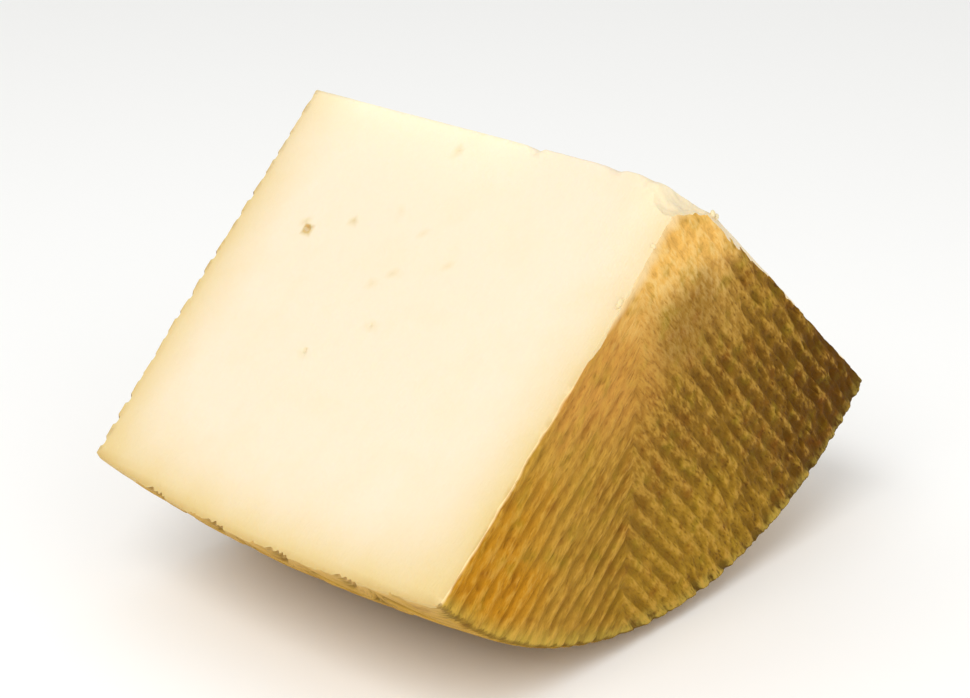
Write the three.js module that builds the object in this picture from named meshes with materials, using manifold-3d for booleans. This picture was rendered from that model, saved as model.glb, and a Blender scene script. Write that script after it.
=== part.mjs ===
// A chunk of aged sheep's milk cheese: a rough quarter cut from a small pressed wheel, standing on its rim
// with the two cut faces meeting at the top. Its five faces are the two cut faces, smooth but for a few eyes,
// the two flat faces, ridged by the grooved boards of the press, and the rim, printed by a plaited belt. Each
// face is a relief surface swept inwards to a thick slab, and the chunk is what all the slabs share.
//
// Millimetres. +Y runs along the wheel's axis, from the face with the bent ridges to the one with straight
// ridges. +Z is up, the cut faces lean to -X and +X, and the origin is under the middle, on the floor.

import * as THREE from "three";
import { mergeVertices } from "three/addons/utils/BufferGeometryUtils.js";
import Module from "manifold-3d";

// The wheel.
const wheelRadius = 93.5; // from the axis to the edge of a flat face
const wheelHeight = 100; // from one flat face's edge to the other's
const rimBulge = 3.4; // how far the rim swells at half height
const faceDome = 1.8; // how far a flat face rises towards the axis
const restDepth = 0.7; // pressed off the rim's lowest stretch, so that the chunk stands
const sectorAngle = THREE.MathUtils.degToRad(94); // between the two cut faces

// The boards' ridges on the flat faces.
const ridgePitch = 3.78;
const frontGrooveDepth = 0.95; // worn
const backGrooveDepth = 1.15;
const lipWidth = 2.8; // smooth border round a flat face
const lipRise = 0.15; // how far it stands above the ridges
const lipEdge = 0.8; // height of the blunted edge between a lip and the rim
const bendOffset = -13; // X, at the axis, of the line where the front face's ridges bend
const bendLean = THREE.MathUtils.degToRad(-2); // that line's lean, seen from the front
const bendStart = -17.3; // from the bend line's point level with the axis to the first ridge, along each leg
const ridgesEnd = 84; // from the axis to the last ridge that is made
const legLength = 126; // of a bent ridge, from the bend to past the chunk's corner

// The belt's plait on the rim.
const bandWidth = 9; // smooth band beside each flat face
const plaitRows = 9; // rows of slanting strands between the bands
const strandPitch = 12.8; // along the rim, from strand to strand
const strandSlant = 12; // shift of a strand along the rim over one row, and back over the next
const strandDepth = 0.95;
const restWear = 0.4; // share of the print that is lost where the chunk rests
const restWearAngles = [0.12, 0.3]; // radians off the lowest line of the rim: full wear within, none beyond

// The cut faces.
const cutWave = 0.22; // unevenness left by the knife
const edgeWear = 0.5; // blunting of the sound part of the top edge
const chipDepth = 2.6; // deepest chip in its crumbled part
const chipSpacing = 4.2;
const chipStart = -4; // Y where the crumbling starts, towards the front face
const cornerLoss = 5; // height lost at the front corner of the top edge
const cornerLength = 7; // along the top edge
const cornerTilt = 0.22; // the broken corner's fall for each millimetre to the right
const eyeSink = 0.2; // from a cut face to the middle of an eye

const reach = 220; // longer than the chunk, for sweeps and cuts
const halfHeight = wheelHeight / 2;
const axisHeight = wheelRadius + rimBulge - restDepth;
const diagonal = Math.SQRT1_2;
const cutRun = Math.sin(sectorAngle / 2); // sideways for each millimetre down a cut face
const cutDrop = Math.cos(sectorAngle / 2); // and its fall

const wasm = await Module();
wasm.setup();

// A repeatable random number from 0 to 1 for a whole number.
function random(n) {
  const x = Math.sin(n * 127.1 + 311.7) * 43758.5453;
  return x - Math.floor(x);
}

// Smooth noise from -1 to 1 along a line.
function noise(x, seed) {
  const cell = Math.floor(x);
  const t = x - cell;
  const ease = t * t * (3 - 2 * t);
  const from = random(cell + seed * 57);
  const to = random(cell + 1 + seed * 57);
  return 2 * (from + (to - from) * ease) - 1;
}

// Evenly spaced numbers from one value to another, both included.
function steps(from, to, count) {
  return Array.from({ length: count + 1 }, (_, i) => from + ((to - from) * i) / count);
}

// A closed geometry as a solid that can be joined and cut.
function solid(geometry) {
  const bare = geometry.clone();
  bare.deleteAttribute("normal");
  bare.deleteAttribute("uv");
  const merged = mergeVertices(bare, 1e-4);
  return new wasm.Manifold(
    new wasm.Mesh({
      numProp: 3,
      vertProperties: merged.attributes.position.array,
      triVerts: new Uint32Array(merged.index.array),
    }),
  );
}

// A relief surface, given as rows of points, swept by a vector to a thick slab.
function slab(rows, sweep) {
  const wide = rows[0].length;
  const outer = rows.flat();
  const points = [...outer, ...outer.map((p) => p.clone().add(sweep))];
  const index = [];
  const quad = (a, b, c, d) => index.push(a, b, c, a, c, d);
  for (let i = 0; i < rows.length - 1; i++) {
    for (let j = 0; j < wide - 1; j++) {
      const a = i * wide + j;
      quad(a, a + wide, a + wide + 1, a + 1);
      quad(outer.length + a, outer.length + a + 1, outer.length + a + wide + 1, outer.length + a + wide);
    }
  }
  const border = [
    ...steps(0, wide - 1, wide - 1),
    ...steps(1, rows.length - 1, rows.length - 2).map((i) => i * wide + wide - 1),
    ...steps(wide - 2, 0, wide - 2).map((j) => (rows.length - 1) * wide + j),
    ...steps(rows.length - 2, 1, rows.length - 3).map((i) => i * wide),
  ];
  border.forEach((a, k) => {
    const b = border[(k + 1) % border.length];
    quad(a, b, outer.length + b, outer.length + a);
  });
  const across = outer[wide].clone().sub(outer[0]);
  const along = outer[1].clone().sub(outer[0]);
  if (across.cross(along).dot(sweep) > 0) index.reverse();
  const geometry = new THREE.BufferGeometry().setFromPoints(points);
  return solid(geometry.setIndex(index));
}

// How far a flat face stands out from its edge's plane at a distance from the axis.
function dome(distance) {
  return faceDome * Math.max(0, 1 - (distance / wheelRadius) ** 2);
}

// The lines that a ridge and its groove need, as [share of the pitch, share of the depth].
const ridgeSection = [
  [0, 0],
  [0.44, 0],
  [0.58, 1],
  [0.86, 1],
];

// Every line across a stretch of ridges, as { at, depth }, with grooves of uneven depth.
function ridgeLines(from, to, grooveDepth) {
  const count = Math.ceil((to - from) / ridgePitch);
  return steps(0, count - 1, count - 1).flatMap((k) =>
    ridgeSection.map(([share, sunk]) => ({
      at: from + (k + share) * ridgePitch,
      depth: sunk * grooveDepth * (0.85 + 0.3 * random(k + 7)),
    })),
  );
}

// The front face: ridges run along both cuts and meet at right angles on a line down the middle.
function frontFace() {
  const leftLeg = new THREE.Vector2(-diagonal, -diagonal).rotateAround(new THREE.Vector2(), bendLean);
  const rightLeg = new THREE.Vector2(diagonal, -diagonal).rotateAround(new THREE.Vector2(), bendLean);
  const rows = ridgeLines(bendStart, ridgesEnd, frontGrooveDepth).map(({ at, depth }) =>
    steps(-legLength, legLength, 6).map((step) => {
      const p = new THREE.Vector2(bendOffset, 0)
        .addScaledVector(leftLeg, at)
        .addScaledVector(rightLeg, at)
        .addScaledVector(step < 0 ? leftLeg : rightLeg, Math.abs(step));
      const y = -halfHeight - dome(p.length()) + depth;
      return new THREE.Vector3(p.x, y, axisHeight + p.y);
    }),
  );
  return slab(rows, new THREE.Vector3(0, reach, 0));
}

// The back face: straight ridges, all parallel to the middle of the chunk.
function backFace() {
  const rows = ridgeLines(-ridgesEnd, ridgesEnd, backGrooveDepth).map(({ at, depth }) =>
    steps(-12, 108, 4).map((down) => {
      const y = halfHeight + dome(Math.hypot(at, down)) - depth;
      return new THREE.Vector3(at, y, axisHeight - down);
    }),
  );
  return slab(rows, new THREE.Vector3(0, -reach, 0));
}

// The smooth border of a flat face, side -1 at the front and 1 at the back.
function lip(side) {
  const root = side * (halfHeight - 4);
  const inner = wheelRadius - lipWidth;
  const outer = wheelRadius + lipEdge / 2;
  const top = (distance) => side * (halfHeight + dome(distance) + lipRise);
  const profile = [
    [inner - 0.5, root],
    [inner + 0.4, top(inner + 0.4)],
    [outer - 1.9 * lipEdge, top(outer - 1.9 * lipEdge)],
    [outer, side * (halfHeight - lipEdge)],
    [outer, root],
    [inner - 0.5, root],
  ].map(([x, y]) => new THREE.Vector2(x, y));
  if (side > 0) profile.reverse();
  const ring = new THREE.LatheGeometry(profile, 64);
  return solid(ring.translate(0, 0, axisHeight));
}

// How far a strand has slanted, from 0 to 1, at a place in the rows that is whole between two of them.
// Strands curve: they lie flattest along the rim where they dive under the next row.
function strandShift(row) {
  const left = 1 - (row % 1);
  return Math.floor(row) % 2 === 0 ? left ** 1.6 : 1 - left ** 1.8;
}

// How deep the print is on one of the lines across a strand, at a place in the rows.
function printDepth(fibre, row) {
  const fibres = [0, 1, 0.3, 0.9, 0.1];
  const tightness = Math.floor(row) % 2 === 0 ? 0.8 : 1;
  return strandDepth * fibres[fibre] * tightness * (0.35 + 0.65 * Math.sin(Math.PI * (row % 1)));
}

// The rim: swollen, with a smooth band along each flat face and the zigzag strands of the plait between.
function rim() {
  const fibres = 5;
  const rowHeight = (wheelHeight - 2 * bandWidth) / plaitRows;
  const strands = Math.ceil((2 * wheelRadius) / strandPitch);
  const plait = steps(0, plaitRows, 2 * plaitRows).map((row) => ({
    y: -halfHeight + bandWidth + row * rowHeight,
    row,
    shift: strandSlant * strandShift(row),
    printed: row > 0 && row < plaitRows ? 1 : 0,
  }));
  const band = [-8, 0.4, 4.5].map((inwards) => inwards - halfHeight);
  const front = band.map((y) => ({ ...plait[0], y }));
  const back = band.map((y) => ({ ...plait.at(-1), y: -y })).reverse();
  const rows = [...front, ...plait, ...back].map(({ y, row, shift, printed }) =>
    steps(0, strands * fibres, strands * fibres).map((column) => {
      const along = (column / fibres - strands / 2) * strandPitch + shift - strandSlant / 2;
      const angle = along / wheelRadius;
      const wear = restWear * (1 - THREE.MathUtils.smoothstep(Math.abs(angle), ...restWearAngles));
      const swell = rimBulge * (1 - (y / halfHeight) ** 2);
      const radius = wheelRadius + swell - printed * (1 - wear) * printDepth(column % fibres, row);
      return new THREE.Vector3(radius * Math.sin(angle), y, axisHeight - radius * Math.cos(angle));
    }),
  );
  return slab(rows, new THREE.Vector3(0, 0, reach));
}

// A cut face through the axis, side -1 to the left and 1 to the right.
function cutFace(side) {
  const out = new THREE.Vector3(side * cutDrop, 0, cutRun);
  const rows = steps(-60, 60, 10).map((y) =>
    steps(-20, 120, 10).map((down) => {
      const wave = cutWave * (noise(y / 24 + side * 3, 2) + noise(down / 28, 5 + side));
      const p = new THREE.Vector3(side * down * cutRun, y, axisHeight - down * cutDrop);
      return p.addScaledVector(out, wave);
    }),
  );
  return slab(rows, out.multiplyScalar(-reach));
}

// How far the top edge is chipped below its worn height at a place along it.
function chips(y) {
  const crumbled = THREE.MathUtils.smoothstep(chipStart - y, 0, 12);
  return 0.5 * chipDepth * crumbled * Math.max(0, 0.35 + noise(y / chipSpacing, 3)) ** 1.5;
}

// The top edge, crumbled along its front half and with its front corner broken off.
function topEdge() {
  const offsets = [-reach, -9, -6, -4, -2.4, -1.1, 0, 1.1, 2.4, 4, 6, 9, reach];
  const rows = steps(-57, 57, 60).map((y) => {
    const corner = THREE.MathUtils.smoothstep(1 - y, halfHeight - cornerLength, halfHeight);
    return offsets.map((x, column) => {
      const tilt = cornerTilt * THREE.MathUtils.clamp(x, -9, 9);
      const loss = chips(y) + corner * (cornerLoss + tilt);
      const crumb = 0.3 * noise(y / 1.7 + column * 4.3, 8) * Math.min(loss, chipDepth);
      return new THREE.Vector3(x, y, axisHeight - edgeWear - loss - crumb - 0.3 * Math.min(2, Math.abs(x)));
    });
  });
  return slab(rows, new THREE.Vector3(0, 0, -reach));
}

// The eyes of the left cut face, as [Y, distance below the axis, size, stretch].
const leftEyes = [
  [31, 31.6, 0.9, 1.5],
  [21, 27, 0.8, 1.3],
  [5.5, 5.5, 0.9, 1.5],
  [10.5, 22.4, 0.6, 1.8],
  [2.3, 25.2, 0.7, 1.2],
  [2.8, 35.5, 0.7, 2.4],
  [1, 47, 0.6, 2],
  [13, 56.8, 0.9, 1.4],
  [-8.3, 30.4, 0.8, 1.2],
  [-21, 12.6, 0.6, 1.3],
  [18.5, 34.4, 0.6, 1.4],
];

// The other face's eyes follow the same habit: small, uneven, and away from the rind.
const rightEyes = steps(0, 11, 11).map((k) => [
  -34 + 68 * random(k * 3 + 1),
  10 + 58 * random(k * 3 + 2),
  0.6 + 0.4 * random(k * 3 + 3),
  1.1 + 0.9 * random(k * 5 + 4),
]);

function eye(side, [y, down, size, stretch], k) {
  const pit = new THREE.OctahedronGeometry(size, 1);
  pit.scale(1, stretch, 1);
  pit.rotateZ(Math.PI * random(k + 40));
  pit.rotateY((side * (Math.PI - sectorAngle)) / 2);
  const x = side * (down * cutRun - eyeSink * cutDrop);
  pit.translate(x, y, axisHeight - down * cutDrop - eyeSink * cutRun);
  return solid(pit);
}

function chunkSolid() {
  const floor = new THREE.BoxGeometry(reach, reach, reach).translate(0, 0, reach / 2);
  const front = frontFace().add(lip(-1));
  const back = backFace().add(lip(1));
  let chunk = front.intersect(back);
  for (const face of [rim(), cutFace(-1), cutFace(1), topEdge(), solid(floor)]) {
    chunk = chunk.intersect(face);
  }
  const eyes = [...leftEyes.map((e, k) => eye(-1, e, k)), ...rightEyes.map((e, k) => eye(1, e, k + 20))];
  for (const pit of eyes) chunk = chunk.subtract(pit);
  return chunk;
}

// True where a triangle's middle lies on the paste and not on the rind.
function isPaste(middle) {
  const below = axisHeight - middle.z;
  const inside = Math.abs(middle.y) < halfHeight + dome(below) - 1.3;
  return inside && (below < 8 || below * cutRun - Math.abs(middle.x) * cutDrop < 1.4);
}

// The chunk's mesh, its triangles in two groups: the paste and the rind.
function chunkMesh() {
  const { numProp, vertProperties, triVerts } = chunkSolid().getMesh();
  const corner = (i) => new THREE.Vector3().fromArray(vertProperties, triVerts[i] * numProp);
  const groups = [[], []];
  for (let i = 0; i < triVerts.length; i += 3) {
    const triangle = [corner(i), corner(i + 1), corner(i + 2)];
    const middle = triangle[0].clone().add(triangle[1]).add(triangle[2]).divideScalar(3);
    groups[isPaste(middle) ? 0 : 1].push(...triangle);
  }
  const geometry = new THREE.BufferGeometry().setFromPoints(groups.flat());
  geometry.addGroup(0, groups[0].length, 0);
  geometry.addGroup(groups[0].length, groups[1].length, 1);
  geometry.computeBoundingBox();
  const middle = geometry.boundingBox.getCenter(new THREE.Vector3());
  geometry.translate(-middle.x, -middle.y, -geometry.boundingBox.min.z);
  geometry.computeVertexNormals();
  const paste = new THREE.MeshStandardMaterial({ color: 0xfbe9c4, roughness: 0.55, metalness: 0 });
  const rind = new THREE.MeshStandardMaterial({ color: 0xb98a35, roughness: 0.7, metalness: 0 });
  const mesh = new THREE.Mesh(geometry, [paste, rind]);
  mesh.name = "cheese_chunk";
  return mesh;
}

const model = new THREE.Group();
model.add(chunkMesh());

export default model;
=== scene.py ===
# A chunk of aged sheep's milk cheese: a rough quarter of a pressed wheel, standing on its rim, cut edge on
# top. It is what several relief surfaces share, fine enough to show every stroke that the mould left.
# Lengths are in millimetres until the mesh is finished.
import itertools
import math

import bmesh
import bpy
import numpy as np
from mathutils import Matrix, Vector


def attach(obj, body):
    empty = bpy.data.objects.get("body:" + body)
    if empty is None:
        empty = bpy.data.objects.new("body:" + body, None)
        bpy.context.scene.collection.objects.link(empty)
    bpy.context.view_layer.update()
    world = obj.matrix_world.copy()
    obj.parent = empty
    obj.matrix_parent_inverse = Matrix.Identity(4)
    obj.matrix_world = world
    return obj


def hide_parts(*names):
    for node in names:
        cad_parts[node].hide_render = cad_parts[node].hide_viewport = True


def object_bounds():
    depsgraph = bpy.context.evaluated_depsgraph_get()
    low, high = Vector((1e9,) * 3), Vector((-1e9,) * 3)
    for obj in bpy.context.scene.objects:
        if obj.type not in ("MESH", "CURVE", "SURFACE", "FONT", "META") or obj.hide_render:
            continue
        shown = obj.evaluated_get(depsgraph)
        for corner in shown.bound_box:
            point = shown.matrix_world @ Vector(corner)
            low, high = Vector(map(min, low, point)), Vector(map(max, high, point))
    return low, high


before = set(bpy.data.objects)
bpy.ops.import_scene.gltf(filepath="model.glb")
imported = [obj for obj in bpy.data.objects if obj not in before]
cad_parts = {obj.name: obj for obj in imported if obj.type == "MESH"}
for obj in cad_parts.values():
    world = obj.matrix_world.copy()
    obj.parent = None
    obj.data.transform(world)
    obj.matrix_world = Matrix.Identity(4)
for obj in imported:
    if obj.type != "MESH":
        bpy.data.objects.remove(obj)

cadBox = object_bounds()
print("frame loaded")

wheel = {
    "radius": 93.5,  # from the axis to the edge of a flat face
    "height": 100,
    "rimBulge": 3.4,  # swell of the rim at half height
    "faceDome": 1.8,  # rise of a flat face towards the axis
    "restDepth": 0.7,  # pressed off the rim where the chunk stands
    "sector": math.radians(94),  # between the cut faces
}
halfHeight = wheel["height"] / 2
axisHeight = wheel["radius"] + wheel["rimBulge"] - wheel["restDepth"]
diagonal = math.sqrt(0.5)  # sine and cosine of 45 degrees
cutRun, cutDrop = math.sin(wheel["sector"] / 2), math.cos(wheel["sector"] / 2)  # per millimetre down a cut
reach = 220  # longer than the chunk, for sweeps


def smooth(low, high, x):
    t = np.clip((x - low) / (high - low), 0, 1)
    return t * t * (3 - 2 * t)


def hashed(n):  # a repeatable random number from 0 to 1 for each whole number
    x = np.sin(np.asarray(n, float) * 127.1 + 311.7) * 43758.5453
    return x - np.floor(x)


def lineNoise(x, seed):  # smooth, from -1 to 1
    x = np.asarray(x, float)
    cell = np.floor(x)
    ease = smooth(0, 1, x - cell)
    start, end = hashed(cell + seed * 57), hashed(cell + 1 + seed * 57)
    return 2 * (start + (end - start) * ease) - 1


def noise(points, size, seed):  # smooth, from -1 to 1, with bumps about size apart
    place = np.asarray(points, float) / size
    cell = np.floor(place)
    ease = smooth(0, 1, place - cell)
    total = np.zeros(place.shape[:-1])
    for corner in itertools.product((0, 1), repeat=3):
        weight = np.prod(np.where(corner, ease, 1 - ease), axis=-1)
        total += weight * hashed((cell + corner) @ np.array([1, 57, 131]) + seed * 977)
    return 2 * total - 1


def rough(points, size, seed, octaves=3):  # noise with finer noise on it, scaled back to about -1 to 1
    return sum(noise(points, size / 2**k, seed + k) / 2**k for k in range(octaves)) / 1.6


def spot(x, down, centreX, centreDown, size):  # a soft round patch on a flat face
    return np.exp(-((x - centreX) ** 2 + (down - centreDown) ** 2) / (2 * size * size))


def stack(x, y, z):
    return np.stack(np.broadcast_arrays(x, y, z), axis=-1).astype(float)


def dome(distance):
    return wheel["faceDome"] * np.maximum(0, 1 - (distance / wheel["radius"]) ** 2)


def swell(y):
    return wheel["rimBulge"] * (1 - (y / halfHeight) ** 2)


# flat faces, printed by grooved boards
boards = {
    "pitch": 3.78,  # from ridge to ridge
    "frontDepth": 0.74,
    "backDepth": 1.15,
    "lipWidth": 2.2,  # border where the relief fades
    "lipShare": {1: 0.25, 2: 0.75},  # how much it fades on the front and on the back
    "edgeRound": 1.5,  # radius between a flat face and the rim
    "bendOffset": -13,  # X, at the axis, of the line where the front ridges bend
    "bendLean": math.radians(-2),
    "bendStart": -17.3,  # the first bent ridge, measured across the ridges
    "end": 84,  # the last ridge, on either face
    "step": 0.9,  # between points along a ridge
    "legs": 126,  # from the bend to where the ridges' ends lie outside the chunk
    "wobble": 0.4,  # how far a ridge strays from its line, slowly
    "wobbleFine": 0.25,  # and over a shorter way
    "uneven": 0.14,  # waviness of a whole face
    "unevenFine": 0.06,
    "gash": 0.4,  # deeper tears in the front's grooves, as a share of the depth
    "nick": 0.35,  # the same, for notches in the crests
    "lump": 0.1,  # lumps all over the front
    "lumpFine": 0.09,
    "worn": [  # rubbed patches: X, distance below the axis, size, share of the relief that is gone
        (-22, 38, 17, 0.45),
        (3, 15, 11, 0.35),
        (-20, 16, 10, 0.5),
        (1, 31, 10, 0.4),
    ],
    # sections across one ridge: share of the pitch, share of the depth
    "wornSection": [
        (0, 0.42), (0.08, 0.14), (0.16, 0.02), (0.24, 0), (0.32, 0.05), (0.4, 0.2), (0.48, 0.46),
        (0.57, 0.75), (0.66, 0.94), (0.75, 1), (0.84, 0.93), (0.92, 0.72),
    ],
    "sharpSection": [
        (0, 0.2), (0.08, 0.05), (0.22, 0), (0.36, 0.05), (0.44, 0.2), (0.51, 0.62), (0.58, 0.93),
        (0.72, 1), (0.86, 0.93), (0.93, 0.62),
    ],
}


def flatFace(x, down, relief, seed):  # how far a flat face stands out from the middle of the wheel
    over = np.hypot(x, down) - wheel["radius"]
    lip = boards["lipShare"][seed] * smooth(-boards["lipWidth"] - 0.6, -boards["lipWidth"] + 1.2, over)
    bend = np.clip(over + boards["edgeRound"], 0, boards["edgeRound"] * 0.98)
    curl = boards["edgeRound"] - np.sqrt(boards["edgeRound"] ** 2 - bend**2) + 5 * np.maximum(0, over)
    place = stack(x, seed * 40, down)
    uneven = boards["uneven"] * (1 + noise(place, 26, seed))
    uneven += boards["unevenFine"] * (1 + noise(place, 7, seed + 3))
    return halfHeight + dome(over + wheel["radius"]) - relief * (1 - lip) - curl - uneven


def ridgeLines(start, section):  # where each line across the ridges lies, and its share of the depth
    ridge = np.repeat(np.arange(math.ceil((boards["end"] - start) / boards["pitch"])), len(section))
    share, depth = np.tile(np.array(section), (len(ridge) // len(section), 1)).T
    at = start + (ridge + share) * boards["pitch"]
    return at[:, None], (depth * (0.85 + 0.3 * hashed(ridge + 7)))[:, None]


def wornRelief(at, along, depth, wild, seed):  # grooves broken into gashes, between lumpy crests
    place = stack(at, 0, along * 0.5)  # halved, so that what follows from it is longer than wide
    opened = 0.4 + 0.6 * smooth(-0.4, 0.4, noise(place, 1.9, seed))
    gash = boards["gash"] * smooth(0.15, 0.7, noise(place, 1.2, seed + 1)) * smooth(0.3, 0.8, depth)
    pitted = boards["nick"] + 0.4 * wild
    nick = pitted * smooth(0.25, 0.75, noise(place, 1.5, seed + 2)) * (1 - smooth(0.1, 0.5, depth))
    lumps = (boards["lump"] + 0.06 * wild) * (1 + noise(stack(at, 3, along * 0.6), 2.3, seed + 3))
    lumps += (boards["lumpFine"] + 0.06 * wild) * (1 + noise(stack(at, 5, along * 0.75), 1.5, seed + 4))
    return boards["frontDepth"] * (depth * opened * (1 - 0.15 * wild) + gash + nick), lumps


def frontFace():
    turn = np.exp(1j * boards["bendLean"])
    leftLeg, rightLeg = complex(-diagonal, -diagonal) * turn, complex(diagonal, -diagonal) * turn
    at, depth = ridgeLines(boards["bendStart"], boards["wornSection"])
    along = np.arange(-boards["legs"], boards["legs"] + 0.1, boards["step"])[None, :]
    wild = smooth(10, 90, along)  # the right leg's ridges are the roughest
    at = at + (boards["wobble"] + 0.3 * wild) * noise(stack(at, 0, along), 13, 21)
    at = at + (boards["wobbleFine"] + 0.1 * wild) * noise(stack(at, 0, along), 5, 23)
    leg = np.where(along < 0, leftLeg, rightLeg)
    p = boards["bendOffset"] + (leftLeg + rightLeg) * at + leg * np.abs(along)
    x, down = p.real, -p.imag
    kept = 1 - sum(share * spot(x, down, *place) for *place, share in boards["worn"])
    grooves, lumps = wornRelief(at, along, depth, wild, 31)
    relief = grooves * kept + lumps * (0.4 + 0.6 * kept)
    return stack(x, -flatFace(x, down, relief, 1), axisHeight - down)


def backFace():
    at, depth = ridgeLines(-boards["end"], boards["sharpSection"])
    down = np.arange(-10, 102, boards["step"] * 1.5)[None, :]
    place = stack(at, 9, down)
    x = at + boards["wobble"] * noise(place, 15, 22)
    pits = 0.3 * smooth(0.1, 0.7, noise(place, 2.7, 41)) * smooth(0.4, 0.9, depth)
    nicks = 0.35 * smooth(0.3, 0.8, noise(place, 3.3, 42)) * (1 - smooth(0.2, 0.6, depth))
    relief = boards["backDepth"] * (depth * (1 + 0.2 * noise(place, 6, 43)) + pits + nicks)
    return stack(x, flatFace(x, down, relief, 2), axisHeight - down)


# rim, printed by a plaited band
belt = {
    "bandWidth": 9,  # smooth band beside each flat face
    "bandLines": [-5, -0.5, 0.8, 2.4, 4.2, 6, 7.6, 8.5],  # of points across it, from the flat face inwards
    "rows": 9,
    "linesPerRow": 9,
    "pitch": 12.8,  # from strand to strand along the rim
    "slant": 12,  # shift of a strand over one row
    "depth": 0.95,
    "strokes": [1.5, 3.2, 4.9, 6.6],  # where the strand's fibres pressed in, from its start
    "strokeWidth": 0.62,
    "strandEdge": 1.4,  # from the last stroke to the strand's end
    "fine": 0.33,  # between points across the strokes
    "coarse": 0.95,  # and between the strands
    "restWear": 0.4,  # share of the print that is gone where the chunk stands
}
rowHeight = (wheel["height"] - 2 * belt["bandWidth"]) / belt["rows"]
strandEnd = belt["strokes"][-1] + belt["strandEdge"]


def strandShift(row):  # strands curve, and lie flattest where they dive under the next row
    left = 1 - row % 1
    return np.where(np.floor(row) % 2 == 0, left**1.6, 1 - left**1.8)


def strandRelief(strand, row, across):  # each fibre is a stroke that fades in, deepens and stops
    seed = strand * 17 + np.floor(row) * 131
    odd = np.floor(row) % 2
    q = row % 1
    relief = 0
    for k, centre in enumerate(belt["strokes"]):
        start = 0.02 + 0.25 * hashed(seed + k * 7)
        strength = (0.6 + 0.5 * hashed(seed + k * 7 + 3)) * (0.78 + 0.22 * odd)  # every second row is deeper
        length = smooth(start, start + 0.4, q) * (0.5 + 0.5 * q) * (1 - smooth(0.88, 1, q))
        off = (across - centre - 0.3 * (hashed(seed + k * 7 + 5) - 0.5)) / belt["strokeWidth"]
        relief = relief + strength * length * np.exp(-off * off)
    bundle = smooth(0.2, 1.4, across) * (1 - smooth(strandEnd - belt["strandEdge"], strandEnd, across))
    return belt["depth"] * (relief + 0.16 * bundle + 0.12 * (1 - np.sin(np.pi * q)))


def rim():
    strands = math.ceil(2 * wheel["radius"] / belt["pitch"])
    between = np.arange(strandEnd, belt["pitch"] - 0.4, belt["coarse"])
    columns = np.r_[np.arange(0, strandEnd, belt["fine"]), between]
    strand = np.repeat(np.arange(strands), len(columns))[None, :]
    across = np.tile(columns, strands)[None, :]
    row = np.arange(0, belt["rows"] * belt["linesPerRow"] + 1)[:, None] / belt["linesPerRow"]
    inwards = np.array(belt["bandLines"])[:, None]
    rowY = row * rowHeight + belt["bandWidth"] - halfHeight
    y = np.vstack([inwards - halfHeight, rowY, halfHeight - inwards[::-1]])
    row = np.vstack([0 * inwards, row, 0 * inwards + belt["rows"]])
    along = (strand - strands / 2) * belt["pitch"] + across + belt["slant"] * (strandShift(row) - 0.5)
    angle = along / wheel["radius"]
    printed = (row > 0) & (row < belt["rows"])
    wear = belt["restWear"] * (1 - smooth(0.12, 0.3, np.abs(angle)))
    place = stack(along, y, 0)
    relief = strandRelief(strand, row, across) * printed * (1 - wear) * (0.95 + 0.3 * noise(place, 18, 51))
    uneven = 0.12 * (1 + noise(place, 21, 52)) + 0.06 * (1 + noise(place, 4.5, 53))
    radius = wheel["radius"] + swell(y) - relief - uneven
    return stack(radius * np.sin(angle), y, axisHeight - radius * np.cos(angle))


# cut faces and the edge between them
cuts = {
    "wave": 0.22,  # slow waves that the knife left
    "step": 1.7,  # between points on a cut face
    "past": 6,  # how far the cut faces are made past the flat ones
    "crumbStep": 0.45,  # between points where the top edge crumbles
    "edgeStep": 1.5,  # and along the rest of it
    "edgeWear": 0.5,
    "chipDepth": 2.6,
    "chipSpacing": 4.2,
    "chipStart": -4,  # Y where the top edge starts to crumble
    "cornerLoss": 5,  # how much of the front corner has broken off
    "cornerLength": 7,
    "cornerTilt": 0.22,
}


def cutFace(side):
    end = halfHeight + cuts["past"]
    y = np.arange(-end, end + 0.1, cuts["step"])[:, None]
    down = np.arange(-14, 112, cuts["step"])[None, :]
    wave = cuts["wave"] * (lineNoise(y / 24 + side * 3, 2) + lineNoise(down / 28, 5 + side))
    place = stack(side * down, y, 0)
    out = wave - 0.05 * (1 + noise(place, 9, 61)) - 0.03 * (1 + noise(place, 3.1, 62))
    return stack(side * (down * cutRun + out * cutDrop), y, axisHeight - down * cutDrop + out * cutRun)


def topEdge():
    y = np.r_[np.arange(-57, 3, cuts["crumbStep"]), np.arange(3, 58, cuts["edgeStep"])][:, None]
    x = np.r_[-reach, -12, np.arange(-10, 10.1, cuts["crumbStep"]), 12, reach][None, :]
    crumbled = smooth(0, 12, cuts["chipStart"] - y)
    bitten = np.maximum(0, 0.35 + lineNoise(y / cuts["chipSpacing"], 3)) ** 1.5
    chips = 0.5 * cuts["chipDepth"] * crumbled * bitten
    corner = smooth(halfHeight - cuts["cornerLength"], halfHeight, 1 - y)
    loss = chips + corner * (cuts["cornerLoss"] + cuts["cornerTilt"] * np.clip(x, -9, 9))
    place = stack(x, y, 0)
    crumb = 0.4 * rough(place, 2.4, 71) * np.minimum(loss, cuts["chipDepth"]) ** 0.7
    crumb += 0.05 * (1 + noise(place, 0.9, 75))
    return stack(x, y, axisHeight - cuts["edgeWear"] - loss - crumb - 0.3 * np.minimum(2, np.abs(x)))


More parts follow.
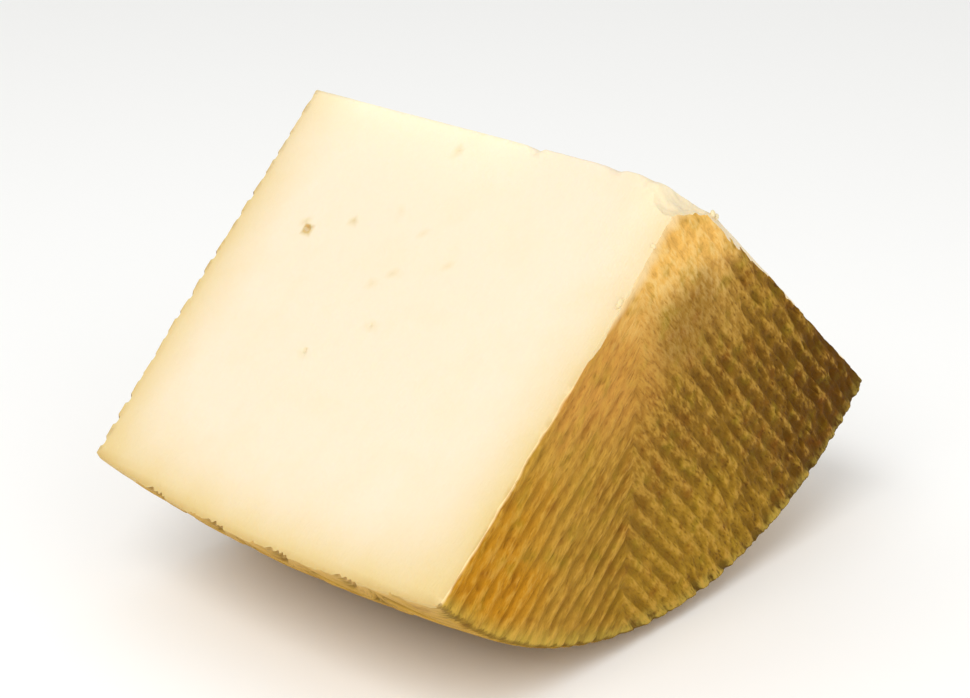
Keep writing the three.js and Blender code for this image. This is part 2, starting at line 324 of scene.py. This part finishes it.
# where the knife tore the rind: how far off the rind and off the cut each bevel reaches, how deep it lies on
# average, how much that varies, and how much deeper it gets towards the start of the edge
tears = {
    ("front", -1): {"rind": 0.5, "cut": 0.2, "lift": 0.45, "vary": 0.3, "start": 0.2},
    ("front", 1): {"rind": 0.9, "cut": 0.5, "lift": 0.22, "vary": 0.3, "start": 0.5},
    ("back", -1): {"rind": 0.7, "cut": 0.5, "lift": 0.2, "vary": 0.4, "start": 0.1},
    ("back", 1): {"rind": 1.2, "cut": 0.6, "lift": 0.15, "vary": 0.45, "start": 0.4},
    ("rim", -1): {"rind": 0.6, "cut": 0.4, "lift": 0.25, "vary": 0.3, "start": 0},
    ("rim", 1): {"rind": 0.8, "cut": 0.5, "lift": 0.15, "vary": 0.35, "start": 0},
}
# where the points across a bevel lie: 0 on the rind, 1 on the cut
tearSteps = [-3, -1.2, -0.5, -0.2, 0, 0.17, 0.33, 0.5, 0.67, 0.83, 1, 1.3, 2, 4]
tearReach = 6  # from a bevel outwards, past all that it cuts away
flatInset, rimInset = 0.6, 0.35  # from the smooth rind in to the edges that tears and crumbs follow


# points along an edge of a cut face, and the ways out of the rind and out of the cut
def edgeOf(face, side, run):
    if face == "rim":
        radius = wheel["radius"] + swell(run) - rimInset
        edge = stack(side * radius * cutRun, run, axisHeight - radius * cutDrop)
        rindOut = np.array([side * cutRun, 0, -cutDrop])
    else:
        outwards = -1 if face == "front" else 1
        y = outwards * (halfHeight + dome(run) - flatInset)
        edge = stack(side * run * cutRun, y, axisHeight - run * cutDrop)
        rindOut = np.array([0, outwards, 0])
    return edge, rindOut, np.array([side * cutDrop, 0, cutRun])


def tear(face, side, seed):
    how = tears[face, side]
    run = np.arange(-52, 52, 0.5) if face == "rim" else np.arange(-4, wheel["radius"] + 3, 0.5)
    run = run[:, None]
    t = np.array(tearSteps)[None, :]
    edge, rindOut, cutOut = edgeOf(face, side, run)
    start = how["start"] * (1 - 1.5 * smooth(20, 75, run))
    offset = how["lift"] + how["vary"] * rough(stack(run, t * how["rind"], seed), 6, seed) - 0.6 * start
    offset = offset + 0.2 * rough(stack(run, t * 2, seed), 2.4, seed + 5)
    middle = edge + (rindOut + cutOut) * (offset * diagonal)[..., None]
    rindPart, cutPart = (how["rind"] * (1 - t))[..., None], (how["cut"] * t)[..., None]
    return middle - cutOut * rindPart - rindOut * cutPart, rindOut + cutOut


# crumbs that still hang on the edges: which edge, its side, the place along it and the size
crumbs = [
    ("front", -1, 27, 1.2),
    ("front", -1, 14, 0.7),
    ("front", 1, 11.6, 1),
    ("front", 1, 13.2, 0.8),
]


# eyes: [Y, distance below the axis, size, stretch, darkness]
leftEyes = [
    [31, 31.6, 0.85, 1.2, 0.8],
    [32.2, 30.6, 0.6, 1.4, 0.3],
    [21, 27, 0.75, 1.2, 0.4],
    [5.5, 5.5, 0.8, 1.5, 0.2],
    [10.5, 22.4, 0.6, 1.8, 0.15],
    [2.3, 25.2, 0.6, 1.2, 0.25],
    [2.8, 35.5, 0.6, 1.6, 0.3],
    [6.5, 39, 0.5, 2.4, 0.2],
    [1, 47, 0.6, 2, 0.15],
    [13, 56.8, 0.8, 1.4, 0.2],
    [-8.3, 30.4, 0.6, 1.2, 0.2],
    [-21, 12.6, 0.6, 1.3, 0.15],
    [18.5, 34.4, 0.6, 1.4, 0.2],
]
rightEyes = [
    [
        -34 + 68 * hashed(k * 3 + 1),
        10 + 58 * hashed(k * 3 + 2),
        0.6 + 0.4 * hashed(k * 3 + 3),
        1.1 + 0.9 * hashed(k * 5 + 4),
        0.1 + 0.35 * hashed(k * 9 + 5),
    ]
    for k in range(12)
]
eyes = [(-1, k, *eye) for k, eye in enumerate(leftEyes)]
eyes += [(1, k + 20, *eye) for k, eye in enumerate(rightEyes)]
eyeSink = 0.15  # from a cut face to the middle of a dark eye; the pale ones are shallow


def addLump(lumps, place, turn, scale, seed):
    for vert in bmesh.ops.create_icosphere(lumps, subdivisions=2, radius=1)["verts"]:
        bump = 1 + 0.22 * float(noise(np.array(vert.co) + seed * 5, 0.8, seed))
        vert.co = Matrix.Translation(place) @ turn @ Matrix.Diagonal((*scale, 1)) @ (vert.co * bump)


def eyeLumps(lumps):
    for side, k, y, down, size, stretch, dark in eyes:
        tilt = Matrix.Rotation(side * (math.pi - wheel["sector"]) / 2, 4, "Y")
        sink = eyeSink if dark > 0.5 else -0.45 * size
        x, z = side * (down * cutRun - sink * cutDrop), axisHeight - down * cutDrop - sink * cutRun
        turn = tilt @ Matrix.Rotation(math.pi * hashed(k + 40), 4, "Z")
        addLump(lumps, Vector((x, y, z)), turn, (size, size * stretch, size), k)


def crumbLumps(lumps):
    for k, (face, side, run, size) in enumerate(crumbs):
        edge, rindOut, cutOut = edgeOf(face, side, np.array([float(run)]))
        place = Vector(edge[0] - (rindOut + cutOut) * 0.3)
        turn = Matrix.Rotation(math.tau * hashed(k + 90), 4, Vector((1, hashed(k + 60), 0.5)))
        addLump(lumps, place, turn, (size, size * 0.75, size * 0.6), k + 300)


# joining the surfaces
pasteIndex, rindIndex = 0, 1


def addObject(name, mesh):
    thing = bpy.data.objects.new(name, mesh)
    bpy.context.collection.objects.link(thing)
    return thing


def slab(name, grid, sweep, materialIndex):  # a relief surface swept to a thick closed body
    high, wide = grid.shape[:2]
    outer = grid.reshape(-1, 3)
    count = len(outer)
    i, j = np.meshgrid(np.arange(high - 1), np.arange(wide - 1), indexing="ij")
    a = (i * wide + j).ravel()
    skin = np.stack([a, a + wide, a + wide + 1, a + 1], 1)
    ring = np.r_[
        np.arange(wide - 1),
        wide - 1 + wide * np.arange(high - 1),
        high * wide - 1 - np.arange(wide - 1),
        wide * (high - 1 - np.arange(high - 1)),
    ]
    following = np.roll(ring, -1)
    side = np.stack([ring, following, following + count, ring + count], 1)
    faces = np.vstack([skin, skin[:, ::-1] + count, side])
    corner = np.cross(outer[wide] - outer[0], outer[1] - outer[0])
    if corner @ sweep > 0:
        faces = faces[:, ::-1]
    mesh = bpy.data.meshes.new(name)
    mesh.from_pydata(np.vstack([outer, outer + sweep]), [], faces)
    for _ in (pasteIndex, rindIndex):  # empty slots, filled once the chunk is whole
        mesh.materials.append(None)
    mesh.polygons.foreach_set("material_index", np.full(len(faces), materialIndex, dtype=np.int32))
    mesh.update()
    return addObject(name, mesh)


def cutWith(body, tool, operation):
    joint = body.modifiers.new("join", "BOOLEAN")
    joint.operation, joint.solver, joint.object = operation, "MANIFOLD", tool
    bpy.context.view_layer.update()
    mesh = bpy.data.meshes.new_from_object(body.evaluated_get(bpy.context.evaluated_depsgraph_get()))
    body.modifiers.clear()
    body.data = mesh
    bpy.data.objects.remove(tool)
    print("  ", operation.lower(), len(mesh.polygons), "faces")


def makeChunk():
    body = slab("cheeseChunk", frontFace(), np.array([0, reach, 0]), rindIndex)
    parts = {
        "back": (backFace(), (0, -reach, 0), rindIndex),
        "rim": (rim(), (0, 0, reach), rindIndex),
        "left": (cutFace(-1), (reach * diagonal, 0, -reach * diagonal), pasteIndex),
        "right": (cutFace(1), (-reach * diagonal, 0, -reach * diagonal), pasteIndex),
        "top": (topEdge(), (0, 0, -reach), pasteIndex),
    }
    for name, (grid, sweep, index) in parts.items():
        cutWith(body, slab(name, grid, np.array(sweep), index), "INTERSECT")
    ground = stack(np.array([[-reach, -reach], [reach, reach]]), np.array([[-reach, reach]] * 2), 0.0)
    cutWith(body, slab("ground", ground, np.array([0, 0, reach]), rindIndex), "INTERSECT")
    for k, (face, side) in enumerate(tears):
        grid, out = tear(face, side, 80 + 9 * k)
        cutWith(body, slab("tear", grid, out * tearReach, pasteIndex), "DIFFERENCE")
    for makeLumps, operation in ((eyeLumps, "DIFFERENCE"), (crumbLumps, "UNION")):
        lumps = bmesh.new()
        makeLumps(lumps)
        mesh = bpy.data.meshes.new("lumps")
        lumps.to_mesh(mesh)
        lumps.free()
        cutWith(body, addObject("lumps", mesh), operation)
    return body


chunk = makeChunk()
print("chunk joined")


# what the materials read from the mesh
def tidyMesh(mesh):
    work = bmesh.new()
    work.from_mesh(mesh)
    bmesh.ops.triangulate(work, faces=work.faces)
    bmesh.ops.dissolve_degenerate(work, edges=work.edges, dist=0.002)
    bmesh.ops.triangulate(work, faces=work.faces)
    openEdges = sum(not edge.is_manifold for edge in work.edges)
    volume = round(work.calc_volume() / 1000, 1)
    print("   triangles", len(work.faces), "open edges", openEdges, "volume cm3", volume)
    work.to_mesh(mesh)
    work.free()


def addField(mesh, name, values):
    field = mesh.attributes.new(name, "FLOAT", "POINT")
    field.data.foreach_set("value", np.asarray(values, dtype=np.float32))


# patches of colour on the front: X, distance below the axis, size, and where one starts to show and is full
patches = {
    "khaki": (10, 90, 19, 0, 0.8),
    "orange": (-23, 27, 15, 0.1, 0.9),
    "deepGold": (-56, 62, 14, 0.2, 0.9),
    "bright": (-1, 12, 15, 0.15, 0.9),
    "smudge": (1, 28, 8.5, 0.15, 0.9),
}
hollowDirtAndShade = {"front": 0.2, "frontRise": 0.28, "rim": 0.45, "back": 0.62}  # share of umber in the hollows: dirt, and painted shade
flecks = {"front": 0.25, "frontRise": 0.5, "rest": 0.3}


# the paste yellows towards the rind, and dries to a skin under it
ripened = {"back": 8.5, "front": 8, "corner": 17, "rim": 8.5}  # how far in from each side


def ripening(x, distance, front, back, edge):
    backBand = np.exp(-((back / ripened["back"]) ** 1.6)) * (0.6 + 0.3 * smooth(0, 35, distance))
    frontBand = np.exp(-((front / ripened["front"]) ** 1.3)) * (0.55 + 0.45 * smooth(10, 80, distance))
    # less ripening towards the right: painted light that keeps the shaded torn bevel there pale
    frontBand = frontBand * (1 - 0.6 * smooth(0, 20, x))
    lowCorner = 0.6 * np.exp(-((front / ripened["corner"]) ** 2) - (edge / ripened["corner"]) ** 2)
    rimBand = np.exp(-((edge / ripened["rim"]) ** 1.6))
    ripe = 1 - (1 - backBand) * (1 - frontBand) * (1 - lowCorner) * (1 - rimBand)
    rindSide = np.maximum(0, np.minimum(back, edge) - 0.7) / 0.8
    # the skin thins towards the right, partly painted light that keeps the shaded bevel there pale
    frontSkin = (0.75 - 0.65 * smooth(-50, -20, x)) * np.exp(-np.maximum(0, front - 0.5) / 0.4)
    return ripe, np.maximum(0.8 * np.exp(-rindSide), frontSkin)


def eyeDarkness(points, x, down):
    darkness = 0 * x
    for side, _, eyeY, eyeDown, size, stretch, dark in eyes:
        centre = np.array([side * eyeDown * cutRun, eyeY, axisHeight - eyeDown * cutDrop])
        away = np.linalg.norm(points - centre, axis=1) / (size * stretch)
        depth = down * cutRun - side * x * cutDrop
        darkness = np.maximum(darkness, dark * (1 - smooth(0.7, 1.3, away)) * smooth(0.03, 0.25, depth))
    return darkness


def surfaceCoordinates(x, y, down, onRim):  # millimetres across and along the ridges or strands
    turned = (x - boards["bendOffset"] - 1j * down) * np.exp(-1j * boards["bendLean"])
    leftLeg, rightLeg = (-turned.real - turned.imag) * diagonal, (turned.real - turned.imag) * diagonal
    row = np.clip((y + halfHeight - belt["bandWidth"]) / rowHeight, 0, belt["rows"])
    rimAcross = np.arctan2(x, down) * wheel["radius"] - belt["slant"] * strandShift(row)
    flatAcross = np.where(y < 0, np.minimum(leftLeg, rightLeg), x)
    flatAlong = np.where(y < 0, np.maximum(leftLeg, rightLeg), down + 600)  # far from the front's
    across, along = np.where(onRim > 0.5, rimAcross, flatAcross), np.where(onRim > 0.5, y, flatAlong)
    # the third one differs on the two legs of the ridges, so that they don't mirror each other
    leg = np.where((y < 0) & (onRim < 0.5), 0.4 * (leftLeg - rightLeg), 0)
    return stack(across, along, leg)


def addFields(mesh):
    points = np.zeros(len(mesh.vertices) * 3)
    mesh.vertices.foreach_get("co", points)
    points = points.reshape(-1, 3)
    x, y, down = points[:, 0], points[:, 1], axisHeight - points[:, 2]
    distance = np.hypot(x, down)

    # how deep a point lies under the smooth front, back and rim, and how far it is from the nearer cut
    front, back = y + halfHeight + dome(distance), halfHeight + dome(distance) - y
    edge = wheel["radius"] + swell(y) - distance
    nearest = np.minimum(np.minimum(front, back), edge)
    nearCut = np.abs(down * cutRun - np.abs(x) * cutDrop)
    onRim = smooth(-0.4, 0.4, np.minimum(front, back) - edge)
    onFront = (1 - onRim) * (y < 0)

    # the front turns from gold on the left to olive on the right, the olive partly painted shade on the
    # right, and the rind ran out at the left cut, where cream shows
    ragged = 0.35 * rough(points, 9, 201, 4)
    raggedX = x + 20 * ragged
    # painted shade: part of this olive darkening towards the right stands for shade, not colour
    oliveAndShade = 0.75 * smooth(-50, 15, raggedX) + 0.25 * smooth(15, 60, raggedX)
    oliveAndShade *= 1 - 0.4 * smooth(50, 25, down) * smooth(0, 25, raggedX)
    creamWidth = 0.25 + 2.6 * smooth(40, 20, distance)
    creamy = smooth(0.7, -0.6, (down * cutRun + x * cutDrop) / creamWidth - 0.7 - 2.4 * ragged) * onFront
    zones = {
        "sunk": np.clip(nearest - 0.25 - 0.2 * onFront, 0, 1.2),
        "onFront": onFront,
        "onRim": onRim,
        "band": onRim * (np.abs(y) > halfHeight - belt["bandWidth"]),
        "lip": smooth(-5, -0.5, distance - wheel["radius"] + 5 * ragged) * (1 - onRim),
        "oliveAndShade": oliveAndShade * onFront,
        "creamy": creamy + 0.3 * onRim * np.exp(-nearCut / 4),
        # painted light: paler cream along the top edge and on the shaded, broken front corner
        "paintedLight": np.exp(-distance / 7) * smooth(-25, 0, y) + np.exp(-distance / 9) * smooth(-38, -46, y),
        "eye": eyeDarkness(points, x, down),
    }
    for name, (centreX, centreDown, size, low, high) in patches.items():
        zones[name] = smooth(low, high, spot(x, down, centreX, centreDown, size) + ragged) * onFront
    zones["ripe"], zones["skin"] = ripening(x, distance, front, back, edge)

    # how dark the hollows are, from dirt and painted shade, and how dark the flecks are; both darken from the
    # front's left to its right, partly as painted shade
    dirtAndShadeShare = (hollowDirtAndShade["front"] + hollowDirtAndShade["frontRise"] * np.clip((x + 42) / 85, 0, 1)) * onFront
    dirtAndShadeShare += hollowDirtAndShade["rim"] * onRim
    dirtAndShadeShare += hollowDirtAndShade["back"] * (1 - onFront - onRim)
    dirtAndShadeShare *= 1 - 0.35 * zones["bright"]
    dirtAndShadeShare += 0.5 * zones["lip"] * onFront * smooth(-30, 0, x)
    zones["dirtAndShadeShare"] = dirtAndShadeShare * (1 - 0.6 * onRim * np.exp(-nearCut / 2.5))
    fleck = (flecks["front"] + flecks["frontRise"] * np.clip((x + 20) / 60, 0, 1)) * onFront
    fleck += flecks["rest"] * (1 - onFront)
    zones["fleck"] = fleck * (1 - 0.7 * zones["bright"])

    for name, values in zones.items():
        addField(mesh, name, values)
    field = mesh.attributes.new("surface", "FLOAT_VECTOR", "POINT")
    field.data.foreach_set("vector", surfaceCoordinates(x, y, down, onRim).ravel())


tidyMesh(chunk.data)
addFields(chunk.data)
corners = np.array([vert.co for vert in chunk.data.vertices])
middle = (corners.min(axis=0) + corners.max(axis=0)) / 2  # the solid is centred over the origin too
print("   box", corners.min(axis=0).round(2), corners.max(axis=0).round(2))
chunk.data.transform(Matrix.Scale(0.001, 4) @ Matrix.Translation((-middle[0], -middle[1], 0)))
for vert in chunk.data.vertices:  # trims what stands a few tenths of a millimetre out of the solid's box
    vert.co = [min(max(value, low), high) for value, low, high in zip(vert.co, *cadBox)]
print("fields added")


# materials
def linear(hexColour):
    channels = [int(hexColour[k : k + 2], 16) / 255 for k in (1, 3, 5)]
    return [c / 12.92 if c <= 0.04045 else ((c + 0.055) / 1.055) ** 2.4 for c in channels] + [1]


def addNode(tree, kind, inputs=None, **settings):  # returns the node's first output in use
    node = tree.nodes.new("ShaderNode" + kind)
    for name, value in settings.items():
        setattr(node, name, value)
    for name, value in (inputs or {}).items():
        if isinstance(value, bpy.types.NodeSocket):
            tree.links.new(value, node.inputs[name])
        else:
            node.inputs[name].default_value = value
    return next((output for output in node.outputs if output.enabled), node)


def newMaterial(name, fields=()):
    material = bpy.data.materials.new(name)
    material.use_nodes = True
    tree = material.node_tree
    tree.nodes.clear()
    sources = {name: addNode(tree, "Attribute", attribute_name=name).node.outputs["Fac"] for name in fields}
    return material, tree, sources


# ripened sheep's milk paste, cut with a wire: smooth, close and slightly oily, so the light sinks in a
# little and comes back warm, with a soft wide shine; it turns yellow and denser towards the rind
pasteLook = {
    "cream": "#E7D7BC",
    # painted light: a paler cream that lightens the top edge and the shaded broken corner
    "paintedLight": "#F2E6C6",
    "ripe": "#D9C186",
    "skin": "#BFA05E",
    "eyeLight": "#D0C48C",
    "eyeDark": "#C08C44",
    "cloudSize": 11,  # mm, of the faint patches
    "cloudShade": 0.07,  # how much riper or paler they are
    "curdSize": 1.4,  # mm, of the faint curd grains
    "dragSpacing": 0.8,  # mm, between the marks of the wire, drawn coarser than real so that they show
    "roughness": (0.42, 0.58),  # where it is oily, where it is dull
    "ior": 1.46,  # fat and water
    "glow": 0.3,  # share of the light that sinks in
    "glowDepth": 0.003,  # m
}


def wireCutPaste():
    look = pasteLook
    material, tree, field = newMaterial("ripenedSheepPasteWireCut", ("ripe", "skin", "eye", "paintedLight"))
    place = addNode(tree, "TexCoord").node.outputs["Object"]
    cloud = addNode(tree, "TexNoise", {"Vector": place, "Scale": 1000 / look["cloudSize"], "Detail": 3})
    shade = look["cloudShade"]
    patch = addNode(tree, "MapRange", {"Value": cloud, 1: 0.35, 2: 0.65, 3: -shade, 4: shade})
    ripeness = addNode(tree, "Math", {0: field["ripe"], 1: patch}, operation="ADD", use_clamp=True)
    tone = linear(look["cream"])
    for share, name in ((field["paintedLight"], "paintedLight"), (ripeness, "ripe"), (field["skin"], "skin")):
        tone = addNode(tree, "Mix", {0: share, 6: tone, 7: linear(look[name])}, data_type="RGBA")
    eyeColours = {0: field["eye"], 6: linear(look["eyeLight"]), 7: linear(look["eyeDark"])}
    eyeTint = addNode(tree, "Mix", eyeColours, data_type="RGBA")
    eyeShare = addNode(tree, "Math", {0: field["eye"], 1: 1.8}, operation="MULTIPLY", use_clamp=True)
    tone = addNode(tree, "Mix", {0: eyeShare, 6: tone, 7: eyeTint}, data_type="RGBA")
    curd = addNode(tree, "TexNoise", {"Vector": place, "Scale": 1000 / look["curdSize"], "Detail": 4})
    dragScale = 100 * math.pi / look["dragSpacing"]  # a wave's bands lie pi / 10 / scale apart
    drag = addNode(
        tree, "TexWave", {"Vector": place, "Scale": dragScale, "Distortion": 6, "Detail": 2},
        bands_direction="Y",
    )
    grain = addNode(tree, "Math", {0: drag, 1: 0.3, 2: curd}, operation="MULTIPLY_ADD")
    bump = addNode(tree, "Bump", {"Height": grain, "Strength": 0.22, "Distance": 0.0003})
    oily, dull = look["roughness"]
    shine = addNode(tree, "MapRange", {"Value": cloud, 1: 0.35, 2: 0.65, 3: oily, 4: dull})
    shader = addNode(tree, "BsdfPrincipled", {
        "Base Color": tone,
        "Roughness": shine,
        "Normal": bump,
        "IOR": look["ior"],
        "Subsurface Weight": look["glow"],
        "Subsurface Radius": (1, 0.72, 0.4),
        "Subsurface Scale": look["glowDepth"],
    })
    addNode(tree, "OutputMaterial", {"Surface": shader})
    return material


# dry rind rubbed with oil, printed by its mould: crests worn to straw and old gold, lightened further by a
# painted highlight, hollows that hold umber mould and dust, darkened further by painted shade, a grey-brown
# smudge; the oil gives it a low, uneven shine, so it looks rich and not chalky
rindLook = {
    # olive brown, also used as painted shade on the front's right
    "gold": "#B28630",
    "oliveAndShade": "#664308",
    "rim": "#C0963E",
    "back": "#B98F4A",
    "khaki": "#A07A22",
    "orange": "#C18A3E",
    "deepGold": "#B97F1A",
    "bright": "#EBB65C",
    "smudge": "#966E28",
    "creamy": "#F0D098",
    "lip": "#BCA64A",
    "umber": "#442702",
    "fleck": "#52300A",
    "straw": "#CFA044",
    "paleStraw": "#F4D48C",
    "russet": "#7C420A",
    "moss": "#8E7A1C",
    "mottleWide": 1.3,  # mm, of the mottling across a ridge or strand
    "mottleLong": 4.2,  # mm, of the mottling along it
    "fineWide": 0.5,  # mm, of the fine streaks across
    "fineLong": 3,  # mm, of the fine streaks along
    "tintSize": 4.5,  # mm, of the reddish and greenish patches
    "tintShare": 0.5,
    "threadSpacing": 1.3,  # mm, between the threads printed across a groove
    "hatchSpacing": 1.1,  # mm, between the lines on the rim's bands
    "lipTint": 0.6,
    "dirtAndShadeFrom": -0.78,  # depth in millimetres less the blotches: dirt and painted shade show from here down, wear and a painted highlight from here up
    "dirtAndShadeFull": -0.35,
    "wearAndHighlightFull": -1.08,
    "wearAndHighlightShare": 0.5,
    "smudgeHides": 0.6,  # share of the wear and painted highlight
    "roughness": (0.48, 0.68),  # where it is oily, where it is dull
    "ior": 1.47,  # oil
    "specular": 0.04,  # low, because the pores take most of the gloss
}


def mouldedRind():
    look = rindLook
    broad = ("oliveAndShade", *patches)
    zones = ("sunk", "dirtAndShadeShare", "fleck", "onFront", "onRim", "band", "lip", "creamy") + broad
    material, tree, field = newMaterial("oiledNaturalRindMoulded", zones)
    place = addNode(tree, "TexCoord").node.outputs["Object"]
    surface = addNode(tree, "Attribute", attribute_name="surface").node.outputs["Vector"]

    # the broad tone of each place: the face it is on, patches, the border, reddish and greenish tints
    lip = addNode(tree, "Math", {0: field["lip"], 1: look["lipTint"]}, operation="MULTIPLY")
    tint = addNode(tree, "TexNoise", {"Vector": place, "Scale": 1000 / look["tintSize"], "Detail": 2.5})
    russet = addNode(tree, "MapRange", {"Value": tint, 1: 0.55, 2: 0.75, 3: 0, 4: look["tintShare"]})
    moss = addNode(tree, "MapRange", {"Value": tint, 1: 0.45, 2: 0.25, 3: 0, 4: look["tintShare"]})
    layers = [(field["onFront"], "gold"), (field["onRim"], "rim")]
    layers += [(field[name], name) for name in broad]
    layers += [(lip, "lip"), (russet, "russet"), (moss, "moss")]
    tone = linear(look["back"])
    for share, name in layers:
        tone = addNode(tree, "Mix", {0: share, 6: tone, 7: linear(look[name])}, data_type="RGBA")

    # mottling drawn out along the ridges and strands, and finer streaks in it
    mottleScale = (1 / look["mottleWide"], 1 / look["mottleLong"], 1)
    drawnOut = addNode(tree, "Mapping", {"Vector": surface, "Scale": mottleScale})
    mottle = addNode(tree, "TexNoise", {"Vector": drawnOut, "Scale": 1, "Detail": 2.5, "Roughness": 0.55})
    fineScale = (1 / look["fineWide"], 1 / look["fineLong"], 1)
    streaked = addNode(tree, "Mapping", {"Vector": surface, "Scale": fineScale})
    fine = addNode(tree, "TexNoise", {"Vector": streaked, "Scale": 1, "Detail": 3})
    blotches = addNode(tree, "Math", {0: fine, 1: 0.8, 2: mottle}, operation="MULTIPLY_ADD")

    # the threads of the cloth across the sharper grooves, and the hatching on the bands
    threadScale, hatchScale = (math.pi / 10 / look[name] for name in ("threadSpacing", "hatchSpacing"))
    threads = addNode(
        tree, "TexWave", {"Vector": surface, "Scale": threadScale, "Distortion": 0.6},
        bands_direction="Y",
    )
    hatch = addNode(
        tree, "TexWave", {"Vector": surface, "Scale": hatchScale, "Distortion": 0.4},
        bands_direction="X",
    )
    sharp = addNode(tree, "Math", {0: 1.0, 1: field["onFront"]}, operation="SUBTRACT")
    flat = addNode(tree, "Math", {0: sharp, 1: field["onRim"]}, operation="SUBTRACT", use_clamp=True)
    threaded = addNode(tree, "Math", {0: threads, 1: flat}, operation="MULTIPLY")
    threaded = addNode(tree, "Math", {0: threaded, 1: field["sunk"]}, operation="MULTIPLY")
    hatched = addNode(tree, "Math", {0: hatch, 1: field["band"]}, operation="MULTIPLY")

    # dirt settles in the hollows, darkened further by painted shade, and dark flecks lie in the streaks
    dirtAndShadeLevel = addNode(tree, "Math", {0: blotches, 1: -1, 2: field["sunk"]}, operation="MULTIPLY_ADD")
    dirtAndShadeLevel = addNode(tree, "Math", {0: threaded, 1: -0.8, 2: dirtAndShadeLevel}, operation="MULTIPLY_ADD")
    dirtAndShadeLevel = addNode(tree, "Math", {0: hatched, 1: 0.18, 2: dirtAndShadeLevel}, operation="MULTIPLY_ADD")
    dirtAndShadeRange = {"Value": dirtAndShadeLevel, 1: look["dirtAndShadeFrom"], 2: look["dirtAndShadeFull"], 3: 0, 4: field["dirtAndShadeShare"]}
    dark = addNode(tree, "MapRange", dirtAndShadeRange)
    fleck = addNode(tree, "MapRange", {"Value": fine, 1: 0.42, 2: 0.3, 3: 0, 4: field["fleck"]})

    # wear and a painted highlight lighten the crests, less so under the smudge
    wearAndHighlightRange = {"Value": dirtAndShadeLevel, 1: look["dirtAndShadeFrom"], 2: look["wearAndHighlightFull"], 3: 0, 4: look["wearAndHighlightShare"]}
    light = addNode(tree, "MapRange", wearAndHighlightRange)
    hidden = {0: field["smudge"], 1: -look["smudgeHides"], 2: 1}
    unsmudged = addNode(tree, "Math", hidden, operation="MULTIPLY_ADD")
    light = addNode(tree, "Math", {0: light, 1: unsmudged}, operation="MULTIPLY")
    # straw for the crests' wear and painted highlight, paler in the bright patch
    strawColours = {0: field["bright"], 6: linear(look["straw"]), 7: linear(look["paleStraw"])}
    straw = addNode(tree, "Mix", strawColours, data_type="RGBA")

    umber, brown, cream = (linear(look[name]) for name in ("umber", "fleck", "creamy"))
    for share, colour in ((dark, umber), (light, straw), (fleck, brown), (field["creamy"], cream)):
        tone = addNode(tree, "Mix", {0: share, 6: tone, 7: colour}, data_type="RGBA")

    height = addNode(tree, "Math", {0: threaded, 1: -0.4, 2: blotches}, operation="MULTIPLY_ADD")
    height = addNode(tree, "Math", {0: hatched, 1: -0.4, 2: height}, operation="MULTIPLY_ADD")
    bump = addNode(tree, "Bump", {"Height": height, "Strength": 0.7, "Distance": 0.0004})
    oily, dull = look["roughness"]
    shine = addNode(tree, "MapRange", {"Value": mottle, 1: 0.3, 2: 0.7, 3: dull, 4: oily})
    shader = addNode(tree, "BsdfPrincipled", {
        "Base Color": tone,
        "Roughness": shine,
        "Normal": bump,
        "IOR": look["ior"],
        "Specular IOR Level": look["specular"],
    })
    addNode(tree, "OutputMaterial", {"Surface": shader})
    return material


paste, rind = wireCutPaste(), mouldedRind()
for index, material in ((pasteIndex, paste), (rindIndex, rind)):
    chunk.data.materials[index] = material
chunk.data.shade_smooth()
chunk.data.set_sharp_from_angle(angle=math.radians(55))
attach(chunk, "root")
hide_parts("cheese_chunk")
print("materials made")


# surroundings
studio = {
    "floor": "#FAFAF8",
    "floorReach": 8,  # m
    "worldStrength": 0.7,
    "key": {"place": (-0.75, -0.25, 0.95), "size": 0.7, "watts": 8.2},  # place and size in metres
    "fill": {"place": (-0.2, -1.2, 0.5), "size": 1.0, "watts": 2.8},
    "lampAim": (0, 0, 0.05),  # m
    "cameraPlace": (-323.4, -297.5, 230.8),  # mm
    "cameraAim": (-2, 0, 49),  # mm
    "cameraRoll": math.radians(0.57),
    "lens": 83.3,
}


def addLight(name, place, size, watts):
    lamp = bpy.data.lights.new(name, "AREA")
    lamp.size, lamp.energy = size, watts
    light = addObject(name, lamp)
    light.location = place
    light.rotation_euler = (Vector(studio["lampAim"]) - light.location).to_track_quat("-Z", "Y").to_euler()


def addFloor():
    mesh = bpy.data.meshes.new("floor")
    far = studio["floorReach"]
    mesh.from_pydata([(-far, -far, 0), (far, -far, 0), (far, far, 0), (-far, far, 0)], [], [(0, 1, 2, 3)])
    floor = addObject("floor", mesh)
    material, tree, _ = newMaterial("mattPaperFloor")
    shader = addNode(tree, "BsdfPrincipled", {"Base Color": linear(studio["floor"]), "Roughness": 0.9})
    addNode(tree, "OutputMaterial", {"Surface": shader})
    mesh.materials.append(material)


def addCamera():
    camera = addObject("camera", bpy.data.cameras.new("camera"))
    camera.data.lens = studio["lens"]
    camera.location = Vector(studio["cameraPlace"]) * 0.001
    aim = Vector(studio["cameraAim"]) * 0.001
    turn = (aim - camera.location).to_track_quat("-Z", "Y").to_matrix()
    camera.rotation_euler = (turn @ Matrix.Rotation(-studio["cameraRoll"], 3, "Z")).to_euler()
    camera.data.clip_start = 0.01
    bpy.context.scene.camera = camera


addFloor()
addCamera()
for name in ("key", "fill"):
    addLight(name, **studio[name])
world = bpy.data.worlds.new("studio")
world.use_nodes = True
world.node_tree.nodes["Background"].inputs["Color"].default_value = (1, 1, 1, 1)
world.node_tree.nodes["Background"].inputs["Strength"].default_value = studio["worldStrength"]
bpy.context.scene.world = world
bpy.context.scene.view_settings.view_transform = "Standard"
print("surroundings made")
